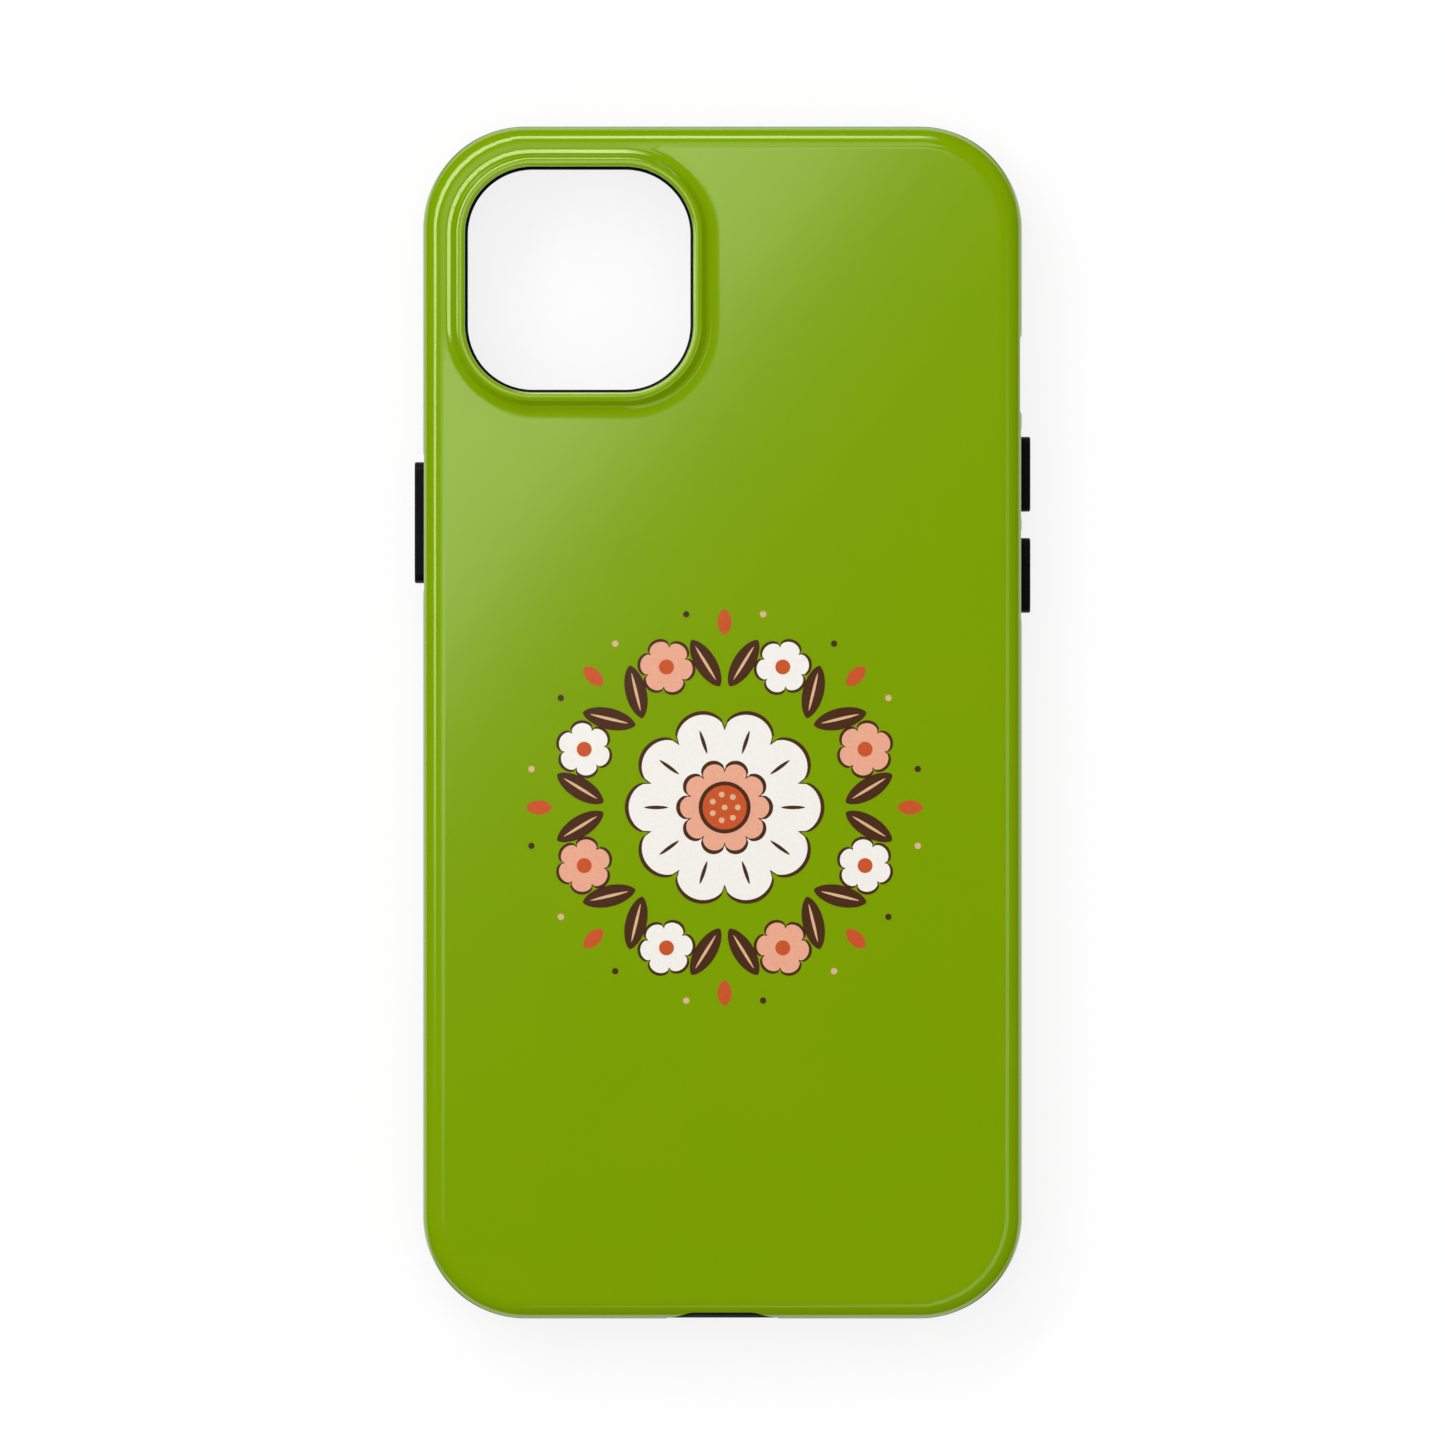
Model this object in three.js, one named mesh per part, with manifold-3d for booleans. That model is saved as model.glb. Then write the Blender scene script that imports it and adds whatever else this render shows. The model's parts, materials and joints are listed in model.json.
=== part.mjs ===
// A two-layer tough case for a large phone, in millimetres.
// The case lies on its front rim, back up: +X is right and +Y is the top end of the phone, both as
// seen from behind, and +Z points out of the back. The origin is under the middle of the front rim.
// A hard glossy shell snaps over a soft black liner. Three keys are trapped between the two.
import * as THREE from "three";
import { mergeVertices } from "three/addons/utils/BufferGeometryUtils.js";
import Module from "manifold-3d";

// The phone that the case is made for. Places are measured from the phone's own edges.
const phone = {
  width: 77.8,
  length: 160.9,
  thickness: 7.8,
  cornerRadius: 11.25,
  backEdgeRadius: 1.5,
  sideKeyFromTop: 52.4,
  volumeUpFromTop: 45.6,
  volumeDownFromTop: 59.8,
  ringSwitchFromTop: 31.7,
};

// The soft liner: a tray with a lip over the screen's edge and a rim under the shell.
const liner = {
  phoneGap: 0.1,
  wall: 1.55,
  back: 1.1,
  backEdgeRadius: 1.4,
  lipHeight: 1,
  lipOverhang: 1.4,
  lipEdgeRadius: 0.4,
  rimHeight: 1.7,
  rimEdgeRadius: 0.9,
  rimSetback: 0.15,
};

// The hard shell, its soft upper edge and its plain lower one.
const shell = {
  linerGap: 0.15,
  wall: 1.3,
  back: 1.25,
  edgeReach: 3.1,
  edgeDrop: 2.45,
  lowerEdgeRadius: 0.4,
};

// The bead round the liner that the shell's groove snaps over.
const bead = {
  aboveRim: 0.6,
  width: 0.5,
  slope: 0.3,
  height: 0.3,
};

// The camera window, placed from the phone's left and top edges, and the collar round it.
const cameraWindow = {
  fromSide: 2.8,
  fromTop: 2.55,
  width: 32,
  length: 31.65,
  cornerRadius: 9.5,
  linerMargin: 0.4,
};
const collar = {
  height: 1.26,
  innerEdgeRadius: 0.5,
  crestWidth: 0.3,
  shoulder: 0.15,
  footRadius: 2.97,
  footAngle: 52,
  root: 0.6,
};

// The keys: a head through the shell, a flange trapped behind it, and a foot towards the phone's key.
const key = {
  volumeLength: 10.5,
  sideLength: 17,
  height: 3.4,
  cornerRadius: 1.3,
  proud: 1.2,
  topEdgeRadius: 0.4,
  windowGap: 0.3,
  flangeMargin: 0.8,
  flangeThickness: 0.5,
  travel: 0.4,
  restGap: 0.15,
  pocketGap: 0.25,
  footMargin: 0.7,
  footGap: 0.3,
  footShort: 0.3,
};
// The springy web round each key's foot, which pushes the key back out.
const web = {
  thickness: 0.6,
  edgeGap: 0.1,
};
// The shallow relief in the shell's side round each key.
const keyRelief = {
  depth: 0.14,
  margin: 0.6,
  slope: 1,
};

// The opening over the ring switch, with its wider relief in the shell.
const ringSwitch = {
  shellLength: 10,
  shellHeight: 5.6,
  linerLength: 8.6,
  linerHeight: 4.6,
  reliefLength: 10,
  reliefDepth: 0.27,
  reliefSlope: 0.7,
};

// The bottom end: the charging port with its boss, and a sound slot each side of it.
const port = {
  topWidth: 9,
  shoulderWidth: 15.2,
  sillWidth: 15.8,
  topInset: 0.85,
  shoulderRise: 0.55,
  sillDrop: 0.3,
  bossGap: 0.3,
  bossInset: 0.1,
  holeWidth: 12.4,
  holeHeight: 6.2,
};
const soundSlot = {
  fromMiddle: 18.2,
  length: 12.6,
  height: 3.2,
  shellMargin: 0.4,
};

// Upright grooves inside the liner's corners, which let the corners give in a fall.
const cushionGroove = {
  count: 5,
  middle: 45,
  spread: 62,
  radius: 0.7,
  depth: 0.45,
  endGap: 1.2,
};

// How finely round forms are cut, and how far a cutter runs past what it cuts.
const cornerSteps = 10;
const edgeSteps = 6;
const outerEdgeSteps = 8;
const smallSteps = 3;
const holeSteps = 6;
const grooveSides = 8;
const overrun = 2;

const wasm = await Module();
wasm.setup();

// Plan sizes of the nested layers: each is the phone's outline grown by a known amount.
function outline(growth) {
  return {
    halfX: phone.width / 2 + growth,
    halfY: phone.length / 2 + growth,
    radius: phone.cornerRadius + growth,
  };
}
const cavity = outline(liner.phoneGap);
const linerSide = outline(liner.phoneGap + liner.wall);
const shellInside = outline(liner.phoneGap + liner.wall + shell.linerGap);
const shellSide = outline(
  liner.phoneGap + liner.wall + shell.linerGap + shell.wall,
);

// Heights above the surface that the case lies on.
const phoneMiddle = liner.lipHeight + phone.thickness / 2;
const cavityTop = liner.lipHeight + phone.thickness + liner.phoneGap;
const linerTop = cavityTop + liner.back;
const shellUnder = linerTop + shell.linerGap;
const shellTop = shellUnder + shell.back;
const shellFoot = liner.rimHeight + shell.linerGap;
const shellEdgeFoot = shellTop - shell.edgeDrop;
const shellInsideRound = liner.backEdgeRadius + shell.linerGap;

// Where the phone's own features put the openings.
const phoneTop = phone.length / 2;
const windowPlace = {
  x: -phone.width / 2 + cameraWindow.fromSide + cameraWindow.width / 2,
  y: phoneTop - cameraWindow.fromTop - cameraWindow.length / 2,
};

// One level ring of points round a rounded rectangle, anticlockwise seen from above.
function ring({ halfX, halfY, radius }, inset, z) {
  const corner = radius - inset;
  const middleX = halfX - radius;
  const middleY = halfY - radius;
  const points = [];
  for (let quarter = 0; quarter < 4; quarter++) {
    const signX = quarter === 0 || quarter === 3 ? 1 : -1;
    const signY = quarter < 2 ? 1 : -1;
    for (let step = 0; step <= cornerSteps; step++) {
      const turn = (quarter + step / cornerSteps) * (Math.PI / 2);
      points.push(
        new THREE.Vector3(
          signX * middleX + corner * Math.cos(turn),
          signY * middleY + corner * Math.sin(turn),
          z,
        ),
      );
    }
  }
  return points;
}

// A closed solid skinned over level rings given as [inset, z] pairs, lowest first.
function stack(plan, levels) {
  const rings = levels.map(([inset, z]) => ring(plan, inset, z));
  const count = rings[0].length;
  const positions = [];
  const faces = [];
  rings.flat().forEach((p) => positions.push(p.x, p.y, p.z));
  for (let level = 0; level + 1 < rings.length; level++) {
    for (let i = 0; i < count; i++) {
      const next = (i + 1) % count;
      const low = level * count;
      const high = low + count;
      faces.push(low + i, low + next, high + next);
      faces.push(low + i, high + next, high + i);
    }
  }
  const last = (rings.length - 1) * count;
  positions.push(0, 0, levels[0][1], 0, 0, levels[levels.length - 1][1]);
  for (let i = 0; i < count; i++) {
    const next = (i + 1) % count;
    faces.push(rings.length * count, next, i);
    faces.push(rings.length * count + 1, last + i, last + next);
  }
  const geometry = new THREE.BufferGeometry();
  geometry.setAttribute(
    "position",
    new THREE.Float32BufferAttribute(positions, 3),
  );
  geometry.setIndex(faces);
  return geometry;
}

// Levels of a rounded upper edge, from the wall at z up to the face that it meets.
function upperEdge(inset, z, reach, drop, steps) {
  const levels = [];
  for (let step = 0; step <= steps; step++) {
    const turn = (step / steps) * (Math.PI / 2);
    levels.push([
      inset + reach * (1 - Math.cos(turn)),
      z + drop * Math.sin(turn),
    ]);
  }
  return levels;
}

// Levels of a rounded lower edge, from the face at z up to the wall.
function lowerEdge(inset, z, reach, drop, steps) {
  const levels = [];
  for (let step = 0; step <= steps; step++) {
    const turn = (step / steps) * (Math.PI / 2);
    levels.push([
      inset + reach * (1 - Math.sin(turn)),
      z + drop * (1 - Math.cos(turn)),
    ]);
  }
  return levels;
}

// A solid for joining and cutting, from any closed geometry.
function solid(geometry) {
  const bare = geometry.clone();
  bare.deleteAttribute("normal");
  bare.deleteAttribute("uv");
  const merged = mergeVertices(bare);
  return new wasm.Manifold(
    new wasm.Mesh({
      numProp: 3,
      vertProperties: merged.attributes.position.array,
      triVerts: new Uint32Array(merged.index.array),
    }),
  );
}

function geometryOf(made) {
  const mesh = made.getMesh();
  const geometry = new THREE.BufferGeometry();
  geometry.setAttribute(
    "position",
    new THREE.BufferAttribute(new Float32Array(mesh.vertProperties), 3),
  );
  geometry.setIndex(new THREE.BufferAttribute(mesh.triVerts, 1));
  geometry.computeVertexNormals();
  return geometry;
}

// A flat rounded rectangle, centred on its middle.
function roundedShape(width, height, radius) {
  const x = width / 2 - radius;
  const y = height / 2 - radius;
  const shape = new THREE.Shape();
  shape.absarc(x, -y, radius, -Math.PI / 2, 0);
  shape.absarc(x, y, radius, 0, Math.PI / 2);
  shape.absarc(-x, y, radius, Math.PI / 2, Math.PI);
  shape.absarc(-x, -y, radius, Math.PI, (3 * Math.PI) / 2);
  shape.closePath();
  return shape;
}

// Extrudes a shape that is drawn in a side wall, from one distance out from the middle to another.
// On the side walls a shape's width runs along Y, on the bottom wall along X, and its height along Z.
const walls = {
  right: new THREE.Matrix4().makeBasis(
    new THREE.Vector3(0, 1, 0),
    new THREE.Vector3(0, 0, 1),
    new THREE.Vector3(1, 0, 0),
  ),
  left: new THREE.Matrix4().makeBasis(
    new THREE.Vector3(0, -1, 0),
    new THREE.Vector3(0, 0, 1),
    new THREE.Vector3(-1, 0, 0),
  ),
  bottom: new THREE.Matrix4().makeBasis(
    new THREE.Vector3(1, 0, 0),
    new THREE.Vector3(0, 0, 1),
    new THREE.Vector3(0, -1, 0),
  ),
};
function throughWall(wall, shape, from, to, along, z, bevel = 0) {
  const geometry = new THREE.ExtrudeGeometry(shape, {
    depth: to - from - 2 * bevel,
    bevelEnabled: bevel > 0,
    bevelThickness: bevel,
    bevelSize: bevel,
    bevelOffset: -bevel,
    bevelSegments: smallSteps,
    curveSegments: holeSteps,
  });
  geometry.translate(0, 0, from + bevel);
  const turned = geometry.applyMatrix4(walls[wall]);
  const place = { right: [0, along, z], left: [0, along, z], bottom: [along, 0, z] };
  return turned.translate(...place[wall]);
}

// A shallow relief with sloping ends, cut straight down the outside of a side wall.
function sideRelief(wall, along, length, depth, slope) {
  const outer = shellSide.halfX;
  const shape = new THREE.Shape([
    new THREE.Vector2(-length / 2 - slope, 0),
    new THREE.Vector2(-length / 2 - slope - overrun, -overrun * (depth / slope)),
    new THREE.Vector2(length / 2 + slope + overrun, -overrun * (depth / slope)),
    new THREE.Vector2(length / 2 + slope, 0),
    new THREE.Vector2(length / 2, depth),
    new THREE.Vector2(-length / 2, depth),
  ]);
  const geometry = new THREE.ExtrudeGeometry(shape, {
    depth: shellTop + overrun,
    bevelEnabled: false,
  });
  const sign = wall === "right" ? 1 : -1;
  geometry.rotateZ((sign * Math.PI) / 2);
  return geometry.translate(sign * outer, along, 0);
}

// Where each key sits, in the order that they lie round the case.
const keys = [
  {
    name: "volume_up",
    wall: "right",
    along: phoneTop - phone.volumeUpFromTop,
    length: key.volumeLength,
  },
  {
    name: "volume_down",
    wall: "right",
    along: phoneTop - phone.volumeDownFromTop,
    length: key.volumeLength,
  },
  {
    name: "side",
    wall: "left",
    along: phoneTop - phone.sideKeyFromTop,
    length: key.sideLength,
  },
];

// How a key's layers stack up, as distances out from the middle of the case.
const keyTop = shellSide.halfX + key.proud;
const flangeOuter = shellInside.halfX - key.restGap;
const flangeInner = flangeOuter - key.flangeThickness;
const webInner = flangeInner - web.thickness;
const footEnd = cavity.halfX + key.footShort;

// How far out the shell's cut-out for the port boss starts: where the shell's inside turns upright.
const portInner = shellInside.halfY - shellInsideRound;

// A key's outline, grown by a margin. Its corners never pass a half circle.
function keyShape(length, margin) {
  return roundedShape(
    length + 2 * margin,
    key.height + 2 * margin,
    key.cornerRadius + margin,
  );
}
function footShape(length, margin) {
  return roundedShape(
    length - 2 * key.footMargin + 2 * margin,
    key.height - 2 * key.footMargin + 2 * margin,
    key.cornerRadius - key.footMargin + margin,
  );
}

// The port's outline in the shell: upright sides, then shoulders that slope in under the back edge.
function portShape(gap) {
  const shoulder = shellEdgeFoot + port.shoulderRise - gap;
  const rise =
    shell.edgeDrop *
    Math.sqrt(1 - ((shell.edgeReach - port.topInset) / shell.edgeReach) ** 2);
  const top = shellEdgeFoot + rise - gap;
  const sill = shoulder - port.sillDrop;
  const corners = [
    [port.sillWidth / 2 - gap, -overrun],
    [port.sillWidth / 2 - gap, sill],
    [port.shoulderWidth / 2 - gap, shoulder],
    [port.topWidth / 2 - gap, top],
  ];
  const mirrored = corners.map(([x, z]) => [-x, z]).reverse();
  return new THREE.Shape(
    [...corners, ...mirrored].map(([x, z]) => new THREE.Vector2(x, z)),
  );
}

const shellPlastic = new THREE.MeshStandardMaterial({
  color: 0x7b9e04,
  roughness: 0.12,
  metalness: 0,
});
const linerRubber = new THREE.MeshStandardMaterial({
  color: 0x0c0c0d,
  roughness: 0.6,
  metalness: 0,
});
const keyRubber = new THREE.MeshStandardMaterial({
  color: 0x0a0a0b,
  roughness: 0.45,
  metalness: 0,
});

// The window through either layer, at a margin inside the shell's own edge.
function windowPlan(margin) {
  return {
    halfX: cameraWindow.width / 2 + margin,
    halfY: cameraWindow.length / 2 + margin,
    radius: cameraWindow.cornerRadius + margin,
  };
}
function atWindow(geometry) {
  return geometry.translate(windowPlace.x, windowPlace.y, 0);
}

// The collar: a hollow foot sweeping up from the back, a tight shoulder and a narrow flat crest.
function collarRing() {
  const tilt = THREE.MathUtils.degToRad(collar.footAngle);
  const footReach = collar.footRadius * Math.sin(tilt);
  const crestOuter = collar.innerEdgeRadius + collar.crestWidth;
  const footStart = crestOuter + collar.shoulder + footReach;
  const levels = [[-footStart, shellTop - collar.root]];
  for (let step = 0; step <= edgeSteps; step++) {
    const turn = tilt * (step / edgeSteps);
    levels.push([
      -footStart + collar.footRadius * Math.sin(turn),
      shellTop + collar.footRadius * (1 - Math.cos(turn)),
    ]);
  }
  levels.push([-crestOuter, shellTop + collar.height]);
  return solid(atWindow(stack(windowPlan(0), levels)));
}

// What the collar's window takes away, with its rounded inner edge.
function windowCutter() {
  const top = shellTop + collar.height;
  const flare = collar.innerEdgeRadius;
  const levels = [[0, shellUnder - overrun]];
  for (let step = 0; step <= smallSteps; step++) {
    const turn = (step / smallSteps) * (Math.PI / 2);
    levels.push([
      -flare * (1 - Math.cos(turn)),
      top - flare + flare * Math.sin(turn),
    ]);
  }
  levels.push([-flare, top + overrun]);
  return solid(atWindow(stack(windowPlan(0), levels)));
}

// The snap bead's levels, grown by a gap for the groove that takes it.
function beadLevels(gap) {
  const low = liner.rimHeight + bead.aboveRim;
  const height = -bead.height;
  return [
    [0, low - gap],
    [height, low + bead.slope - gap],
    [height, low + bead.slope + bead.width + gap],
    [0, low + 2 * bead.slope + bead.width + gap],
  ];
}

function outerShell() {
  const outside = stack(shellSide, [
    ...lowerEdge(
      0,
      shellFoot,
      shell.lowerEdgeRadius,
      shell.lowerEdgeRadius,
      smallSteps,
    ),
    ...upperEdge(
      0,
      shellEdgeFoot,
      shell.edgeReach,
      shell.edgeDrop,
      outerEdgeSteps,
    ),
  ]);
  const inside = stack(shellInside, [
    [0, shellFoot - overrun],
    ...beadLevels(shell.linerGap),
    ...upperEdge(
      0,
      shellUnder - shellInsideRound,
      shellInsideRound,
      shellInsideRound,
      edgeSteps,
    ),
  ]);
  let made = solid(outside).add(collarRing());
  made = made.subtract(solid(inside)).subtract(windowCutter());
  for (const { wall, along, length } of keys) {
    const window = throughWall(
      wall,
      keyShape(length, key.windowGap),
      shellInside.halfX - overrun,
      shellSide.halfX + overrun,
      along,
      phoneMiddle,
    );
    const relief = sideRelief(
      wall,
      along,
      length + 2 * keyRelief.margin,
      keyRelief.depth,
      keyRelief.slope,
    );
    made = made.subtract(solid(window)).subtract(solid(relief));
  }
  const switchAlong = phoneTop - phone.ringSwitchFromTop;
  const switchWindow = throughWall(
    "right",
    roundedShape(
      ringSwitch.shellLength,
      ringSwitch.shellHeight,
      ringSwitch.shellHeight / 2,
    ),
    shellInside.halfX - overrun,
    shellSide.halfX + overrun,
    switchAlong,
    phoneMiddle,
  );
  const switchRelief = sideRelief(
    "right",
    switchAlong,
    ringSwitch.reliefLength,
    ringSwitch.reliefDepth,
    ringSwitch.reliefSlope,
  );
  made = made.subtract(solid(switchWindow)).subtract(solid(switchRelief));
  const portWindow = throughWall(
    "bottom",
    portShape(0),
    portInner,
    shellSide.halfY + overrun,
    0,
    0,
  );
  made = made.subtract(solid(portWindow));
  for (const side of [-1, 1]) {
    const slot = throughWall(
      "bottom",
      roundedShape(
        soundSlot.length + 2 * soundSlot.shellMargin,
        soundSlot.height + 2 * soundSlot.shellMargin,
        soundSlot.height / 2 + soundSlot.shellMargin,
      ),
      shellInside.halfY - overrun,
      shellSide.halfY + overrun,
      side * soundSlot.fromMiddle,
      phoneMiddle,
    );
    made = made.subtract(solid(slot));
  }
  return made;
}

// The liner's outside: the rim under the shell, the wall with its snap bead, and the back.
function linerOutside() {
  const rimInset = -shell.linerGap - shell.wall + liner.rimSetback;
  return solid(
    stack(linerSide, [
      ...lowerEdge(
        rimInset,
        0,
        liner.rimEdgeRadius,
        liner.rimEdgeRadius,
        smallSteps + 1,
      ),
      [rimInset, liner.rimHeight],
      [0, liner.rimHeight],
      ...beadLevels(0),
      ...upperEdge(
        0,
        linerTop - liner.backEdgeRadius,
        liner.backEdgeRadius,
        liner.backEdgeRadius,
        edgeSteps,
      ),
    ]),
  );
}

// The space for the phone, entered past the lip.
function phoneSpace() {
  const round = phone.backEdgeRadius + liner.phoneGap;
  const lipInset = liner.lipOverhang;
  const lipFront = lipInset - liner.lipEdgeRadius;
  return solid(
    stack(cavity, [
      [lipFront, -overrun],
      ...lowerEdge(
        lipInset,
        0,
        -liner.lipEdgeRadius,
        liner.lipEdgeRadius,
        smallSteps,
      ),
      [lipInset, liner.lipHeight],
      [0, liner.lipHeight],
      ...upperEdge(0, cavityTop - round, round, round, edgeSteps),
    ]),
  );
}

// The boss round the charging port, which fills the shell's cut-out almost flush.
function portBoss() {
  const block = throughWall(
    "bottom",
    portShape(port.bossGap),
    portInner + port.bossGap,
    shellSide.halfY + overrun,
    0,
    0,
  );
  const flush = stack(shellSide, [
    [port.bossInset, liner.rimEdgeRadius],
    ...upperEdge(
      port.bossInset,
      shellEdgeFoot,
      shell.edgeReach,
      shell.edgeDrop,
      outerEdgeSteps,
    ),
  ]);
  return solid(block).intersect(solid(flush));
}

function cushionGrooves(plan) {
  const grooves = [];
  const low = liner.lipHeight + cushionGroove.endGap;
  const high = cavityTop - phone.backEdgeRadius - cushionGroove.endGap;
  const reach = plan.radius + cushionGroove.radius - cushionGroove.depth;
  for (const signX of [-1, 1]) {
    for (const signY of [-1, 1]) {
      for (let i = 0; i < cushionGroove.count; i++) {
        const share = i / (cushionGroove.count - 1) - 0.5;
        const degrees = cushionGroove.middle + share * cushionGroove.spread;
        const turn = THREE.MathUtils.degToRad(degrees);
        const groove = new THREE.CylinderGeometry(
          cushionGroove.radius,
          cushionGroove.radius,
          high - low,
          grooveSides,
        );
        groove.rotateX(Math.PI / 2);
        const away = reach - 2 * (cushionGroove.radius - cushionGroove.depth);
        groove.translate(
          signX * (plan.halfX - plan.radius + away * Math.cos(turn)),
          signY * (plan.halfY - plan.radius + away * Math.sin(turn)),
          (low + high) / 2,
        );
        grooves.push(solid(groove));
      }
    }
  }
  return grooves;
}

function innerLiner() {
  let made = linerOutside().add(portBoss()).subtract(phoneSpace());
  const cameraHole = atWindow(
    stack(windowPlan(-cameraWindow.linerMargin), [
      [0, cavityTop - overrun],
      [0, linerTop + overrun],
    ]),
  );
  made = made.subtract(solid(cameraHole));
  for (const { wall, along, length } of keys) {
    const pocket = throughWall(
      wall,
      keyShape(length, key.flangeMargin + key.pocketGap),
      webInner,
      linerSide.halfX + overrun,
      along,
      phoneMiddle,
    );
    const footHole = throughWall(
      wall,
      footShape(length, key.footGap),
      cavity.halfX - overrun,
      linerSide.halfX + overrun,
      along,
      phoneMiddle,
    );
    made = made.subtract(solid(pocket)).subtract(solid(footHole));
  }
  const switchHole = throughWall(
    "right",
    roundedShape(
      ringSwitch.linerLength,
      ringSwitch.linerHeight,
      ringSwitch.linerHeight / 2,
    ),
    cavity.halfX - overrun,
    linerSide.halfX + overrun,
    phoneTop - phone.ringSwitchFromTop,
    phoneMiddle,
  );
  const portHole = throughWall(
    "bottom",
    roundedShape(port.holeWidth, port.holeHeight, port.holeHeight / 2),
    cavity.halfY - overrun,
    shellSide.halfY + overrun,
    0,
    phoneMiddle,
  );
  made = made.subtract(solid(switchHole)).subtract(solid(portHole));
  for (const side of [-1, 1]) {
    const slot = throughWall(
      "bottom",
      roundedShape(soundSlot.length, soundSlot.height, soundSlot.height / 2),
      cavity.halfY - overrun,
      linerSide.halfY + overrun,
      side * soundSlot.fromMiddle,
      phoneMiddle,
    );
    made = made.subtract(solid(slot));
  }
  for (const groove of cushionGrooves(cavity)) {
    made = made.subtract(groove);
  }
  return made;
}

// One key: the head that a thumb presses, the flange that keeps it in, and the foot.
function keyCap({ wall, along, length }) {
  const head = throughWall(
    wall,
    keyShape(length, 0),
    flangeInner,
    keyTop,
    along,
    phoneMiddle,
    key.topEdgeRadius,
  );
  const flange = throughWall(
    wall,
    keyShape(length, key.flangeMargin),
    flangeInner,
    flangeOuter,
    along,
    phoneMiddle,
  );
  const foot = throughWall(
    wall,
    footShape(length, 0),
    footEnd,
    flangeOuter,
    along,
    phoneMiddle,
  );
  return solid(head).add(solid(flange)).add(solid(foot));
}

// A key's web: a flat ring of soft liner material between the flange and the pocket's floor.
function keyWeb({ wall, along, length }) {
  const disc = throughWall(
    wall,
    keyShape(length, key.flangeMargin - web.edgeGap),
    webInner,
    flangeInner,
    along,
    phoneMiddle,
  );
  const hole = throughWall(
    wall,
    footShape(length, key.footGap),
    webInner - overrun,
    flangeInner + overrun,
    along,
    phoneMiddle,
  );
  return solid(disc).subtract(solid(hole));
}

const phoneCase = new THREE.Group();

function addPiece(name, made, material) {
  const mesh = new THREE.Mesh(geometryOf(made), material);
  mesh.name = name;
  phoneCase.add(mesh);
}

addPiece("outer_shell", outerShell(), shellPlastic);
addPiece("inner_liner", innerLiner(), linerRubber);
for (const one of keys) {
  addPiece(`${one.name}_key`, keyCap(one), keyRubber);
  addPiece(`${one.name}_key_web`, keyWeb(one), linerRubber);
}

export default phoneCase;
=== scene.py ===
import json
import math

import bmesh
import bpy
from mathutils import Matrix, Vector


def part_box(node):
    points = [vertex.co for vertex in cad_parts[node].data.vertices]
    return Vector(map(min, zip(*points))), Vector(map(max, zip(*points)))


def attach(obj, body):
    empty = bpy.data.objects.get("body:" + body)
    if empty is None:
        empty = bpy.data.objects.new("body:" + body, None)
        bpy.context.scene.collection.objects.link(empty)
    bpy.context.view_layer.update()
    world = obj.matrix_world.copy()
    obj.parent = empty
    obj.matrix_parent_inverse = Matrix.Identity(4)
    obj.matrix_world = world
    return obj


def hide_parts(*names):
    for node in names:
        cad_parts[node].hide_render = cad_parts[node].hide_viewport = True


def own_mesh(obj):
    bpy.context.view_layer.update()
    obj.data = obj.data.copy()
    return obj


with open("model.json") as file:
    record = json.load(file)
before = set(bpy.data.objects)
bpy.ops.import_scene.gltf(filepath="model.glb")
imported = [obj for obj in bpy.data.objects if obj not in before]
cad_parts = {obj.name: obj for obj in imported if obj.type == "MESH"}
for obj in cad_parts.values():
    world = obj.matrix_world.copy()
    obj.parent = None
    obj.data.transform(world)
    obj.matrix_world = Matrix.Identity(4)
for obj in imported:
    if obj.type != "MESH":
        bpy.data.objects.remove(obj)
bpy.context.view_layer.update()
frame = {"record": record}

# A two-layer case for a large phone, lying on its front rim with its back up.
# A hard glossy shell is snapped over a soft black liner, whose keys stand out through the shell.
MM = 0.001

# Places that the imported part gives, in metres.
shell_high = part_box("outer_shell")[1]
key_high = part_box("volume_up_key")[1]
mounts = {mount["name"]: Vector(mount["pos_m"]) for mount in frame["record"]["mounts"]}
BACK = mounts["back_face"].z
SEAT = mounts["phone_seat"].z

# The phone that the case fits, which places the openings.
PHONE_HALF_X = 38.9 * MM
PHONE_HALF_Y = 80.45 * MM
VOLUME_UP_FROM_TOP = 45.6 * MM
VOLUME_DOWN_FROM_TOP = 59.8 * MM
SIDE_KEY_FROM_TOP = 52.4 * MM
RING_SWITCH_FROM_TOP = 31.7 * MM

# The shell.
CASE_CORNER = 14.35 * MM
SHELL_WALL = 1.3 * MM
SHELL_THICKNESS = 1.25 * MM
EDGE_REACH = 3.1 * MM
EDGE_DROP = 2.45 * MM
LOWER_EDGE_RADIUS = 0.4 * MM

# The camera window and its collar. Distances are counted outwards from the window's edge.
WINDOW_FROM_SIDE = 2.8 * MM
WINDOW_FROM_TOP = 2.55 * MM
WINDOW_HALF_X = 16 * MM
WINDOW_HALF_Y = 15.825 * MM
WINDOW_CORNER = 9.5 * MM
# The collar's outward slope in degrees at distances in millimetres: a lip with a sloped face, a
# narrow crest, a rounded shoulder, a steep side and a foot that runs out onto the back.
COLLAR_SLOPES = (
    (0, -75),
    (0.06, -45),
    (0.1, -26),
    (0.32, -22),
    (0.44, 0),
    (0.74, 0),
    (0.95, 16),
    (1.03, 19.6),
    (1.13, 24),
    (1.2, 27.6),
    (1.25, 49),
    (1.82, 49),
    (1.9, 24.4),
    (2.4, 22),
    (2.54, 14),
    (2.72, 9),
    (2.9, 5.5),
    (3.02, 3.5),
    (3.2, 1.8),
    (3.5, 0.9),
    (3.75, 0),
)

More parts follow.
